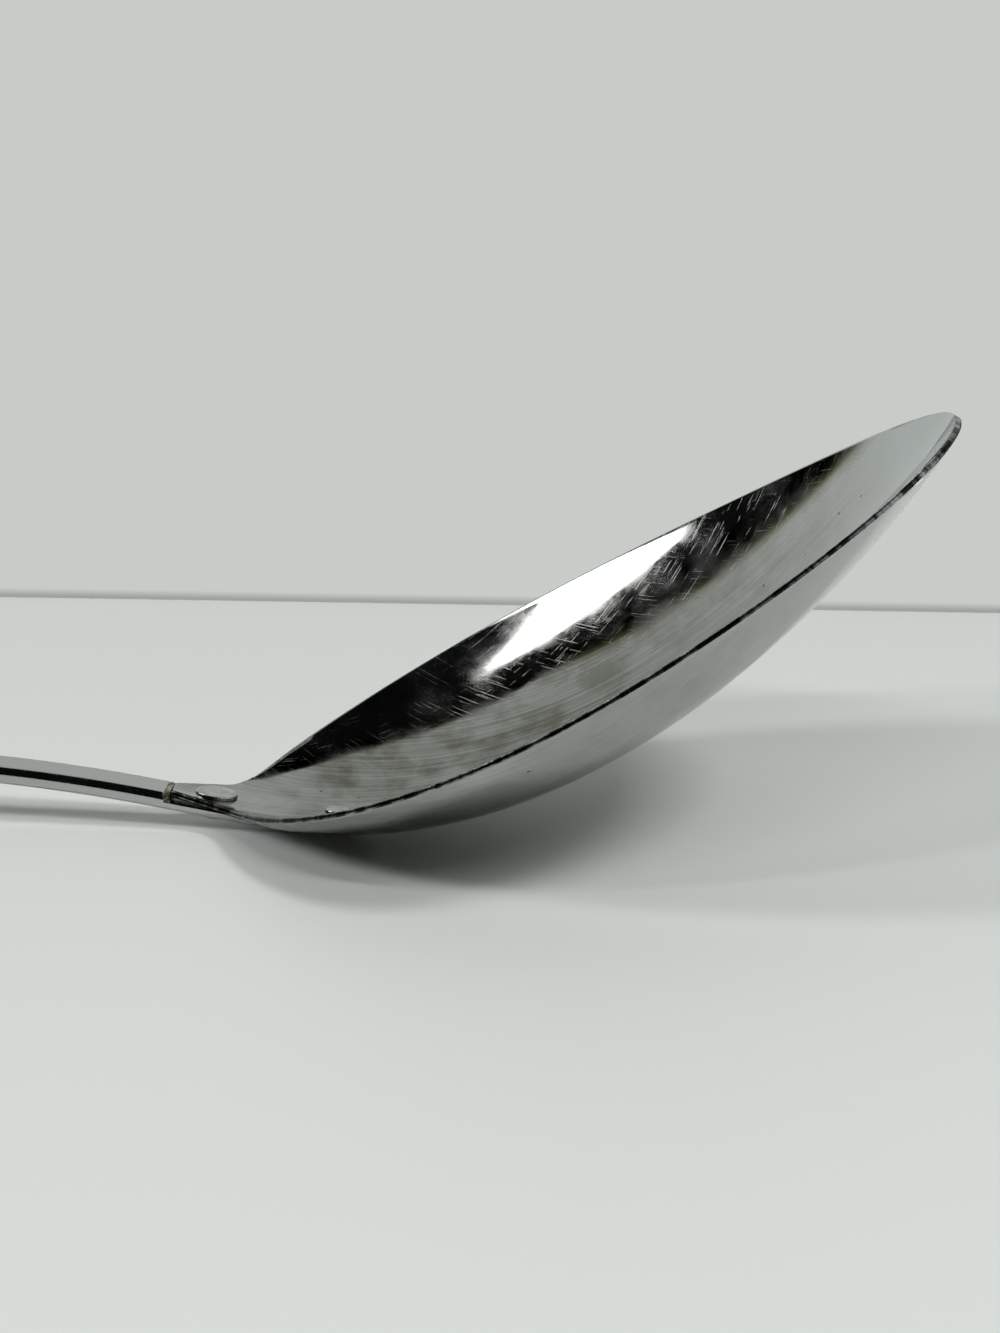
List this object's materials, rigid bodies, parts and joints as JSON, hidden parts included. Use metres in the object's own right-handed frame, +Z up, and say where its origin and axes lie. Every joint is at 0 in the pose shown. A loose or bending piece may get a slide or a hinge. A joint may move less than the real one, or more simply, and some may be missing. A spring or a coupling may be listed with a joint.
{
  "type": "serving spoon",
  "caption": "Riveted metal serving spoon with a deep egg-shaped bowl and a slim handle whose tongue runs under the heel.",
  "frame": {"origin": "centre of the footprint, on the table that the spoon rests on", "axes": "+X from the handle's end to the bowl's tip, +Y to the left seen from the handle, +Z up"},
  "size_m": [0.232, 0.0614, 0.0479],
  "materials": {
    "bowl_plate": "bright plated steel sheet, hand polished, fine scratches and smudges",
    "handle_plate": "bright plated steel bar, slightly worn",
    "rivet_steel": "hammered and filed steel, satin",
    "braze_filler": "dull tarnished filler metal"
  },
  "bodies": {
    "root": {"bowl": "bowl_plate", "handle": "handle_plate", "rivet_front": "rivet_steel", "rivet_rear": "rivet_steel", "braze_seam": "braze_filler"}
  },
  "joints": []
}
